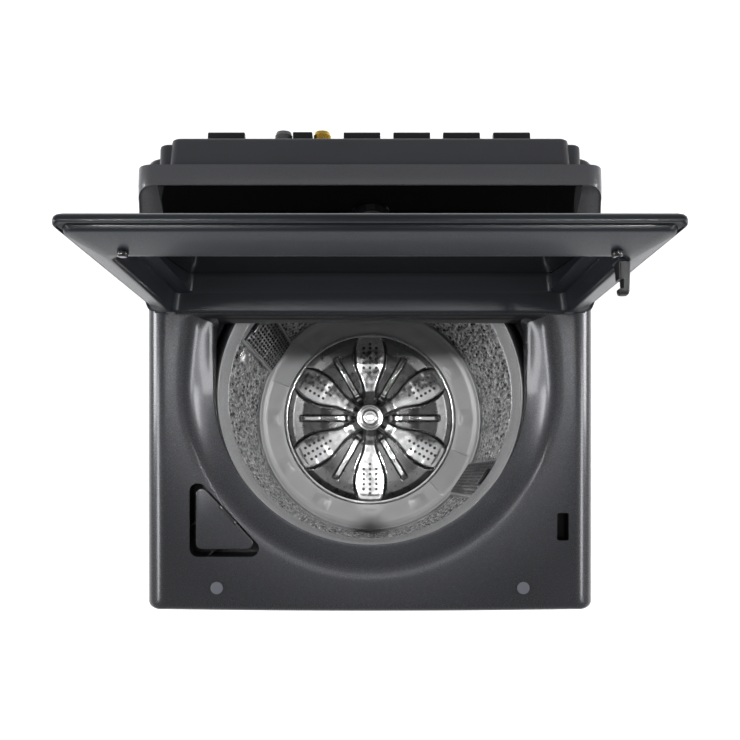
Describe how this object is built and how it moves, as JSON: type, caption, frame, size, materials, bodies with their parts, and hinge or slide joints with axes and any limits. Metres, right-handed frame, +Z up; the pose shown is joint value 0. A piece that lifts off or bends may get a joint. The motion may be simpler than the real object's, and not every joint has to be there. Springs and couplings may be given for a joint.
{
  "type": "top load washing machine",
  "caption": "Free-standing top load washing machine in charcoal, lid standing open over a perforated steel drum with a petalled impeller, sloping deck and rear console.",
  "frame": {"origin": "on the floor under the middle of the machine", "axes": "+Z up, -Y to the front, +X to the right seen from the front"},
  "size_m": [0.686, 0.72, 1.455],
  "materials": {
    "enamel": "charcoal stainless look, semi-gloss",
    "charcoal": "moulded charcoal plastic, fine grain",
    "lid_glass": "dark tempered glass, polished",
    "console_glass": "black tempered glass, polished",
    "black_gloss": "gloss black",
    "black_plastic": "fine textured black",
    "grey_plastic": "satin grey",
    "stainless": "polished and embossed",
    "steel": "turned",
    "zinc": "galvanised sheet",
    "tub_plastic": "moulded, off-white",
    "rubber": "matt black",
    "pad_grey": "soft grey",
    "winding": "enamelled winding wire",
    "brass": "turned brass",
    "chrome": "bright metallised plastic",
    "alloy": "die cast"
  },
  "bodies": {
    "cabinet": {"top_cover": "enamel", "cabinet_wrap": "enamel", "console_housing": "charcoal", "console_rear_cover": "charcoal", "console_glass": "console_glass", "deck_plug_left": "pad_grey", "deck_plug_right": "pad_grey", "lid_lock_housing": "black_plastic", "dispenser_tray": "grey_plastic", "dispenser_hinge_pin": "steel", "lid_hinge_bracket_left": "zinc", "lid_hinge_bracket_right": "zinc", "lid_hinge_pin_left": "steel", "lid_hinge_pin_right": "steel", "control_board": "black_plastic", "rear_vent_strip": "black_plastic", "inlet_valve_body": "black_plastic", "inlet_connector_cold": "grey_plastic", "inlet_connector_hot": "brass", "rear_panel": "zinc", "base_frame": "black_plastic", "power_cord_gland": "black_plastic", "drain_outlet": "grey_plastic", "leveling_foot_1": "rubber", "suspension_rod_1": "steel", "suspension_spring_1": "steel", "leveling_foot_2": "rubber", "suspension_rod_2": "steel", "suspension_spring_2": "steel", "leveling_foot_3": "rubber", "suspension_rod_3": "steel", "suspension_spring_3": "steel", "leveling_foot_4": "rubber", "suspension_rod_4": "steel", "suspension_spring_4": "steel"},
    "lid": {"lid_frame": "charcoal", "lid_glass": "lid_glass", "lid_striker": "black_plastic", "lid_bumper_left": "rubber", "lid_bumper_right": "rubber"},
    "dispenser_lid": {"dispenser_flap": "enamel"},
    "lock_bolt": {"lid_lock_bolt": "steel"},
    "knob": {"selector_knob": "black_gloss"},
    "power_key": {"power_button": "black_plastic"},
    "start_key": {"start_button": "black_plastic"},
    "tub": {"outer_tub": "tub_plastic", "tub_cover_ring": "tub_plastic", "bearing_housing": "alloy", "motor_stator": "winding", "drain_pump": "black_plastic"},
    "basket": {"basket_wall": "stainless", "basket_base": "grey_plastic", "balance_ring": "grey_plastic", "spin_tube": "steel"},
    "filter_left": {"lint_filter_left": "grey_plastic"},
    "filter_right": {"lint_filter_right": "grey_plastic"},
    "impeller_drive": {"impeller": "chrome", "impeller_cap": "stainless", "drive_shaft": "steel", "motor_rotor": "alloy"}
  },
  "joints": [
    {"name": "lid_hinge", "type": "hinge", "parent": "cabinet", "child": "lid", "pos_m": [0, 0.098, 1.007], "axis": [-1, 0, 0], "range_deg": [-96.75, 0]},
    {"name": "dispenser_hinge", "type": "hinge", "parent": "cabinet", "child": "dispenser_lid", "pos_m": [-0.21707, -0.21308, 0.95317], "axis": [-0.6791, 0.729, 0.0863], "range_deg": [0, 95]},
    {"name": "lock_slide", "type": "slide", "parent": "cabinet", "child": "lock_bolt", "axis": [1, 0, 0], "range_m": [0, 0.008]},
    {"name": "knob_turn", "type": "hinge", "parent": "cabinet", "child": "knob", "pos_m": [0.002, 0.21552, 1.0786], "axis": [0, -0.8155, 0.5787], "continuous": true},
    {"name": "power_press", "type": "slide", "parent": "cabinet", "child": "power_key", "axis": [0, 0.8155, -0.5787], "range_m": [0, 0.0012], "stiffness_N_per_m": 900},
    {"name": "start_press", "type": "slide", "parent": "cabinet", "child": "start_key", "axis": [0, 0.8155, -0.5787], "range_m": [0, 0.0012], "stiffness_N_per_m": 900},
    {"name": "tub_suspension", "type": "slide", "parent": "cabinet", "child": "tub", "axis": [0, 0, 1], "range_m": [-0.025, 0.006], "stiffness_N_per_m": 24000, "springref_m": 0.0137, "deforming": ["suspension_spring_1", "suspension_spring_2", "suspension_spring_3", "suspension_spring_4"]},
    {"name": "basket_spin", "type": "hinge", "parent": "tub", "child": "basket", "pos_m": [0, -0.021, 0.3], "axis": [0, 0, 1], "continuous": true},
    {"name": "impeller_spin", "type": "hinge", "parent": "tub", "child": "impeller_drive", "pos_m": [0, -0.021, 0.3], "axis": [0, 0, 1], "continuous": true},
    {"name": "filter_left_slide", "type": "slide", "parent": "basket", "child": "filter_left", "axis": [0.829, -0.5592, 0], "range_m": [0, 0.03]},
    {"name": "filter_right_slide", "type": "slide", "parent": "basket", "child": "filter_right", "axis": [-0.829, 0.5592, 0], "range_m": [0, 0.03]}
  ]
}
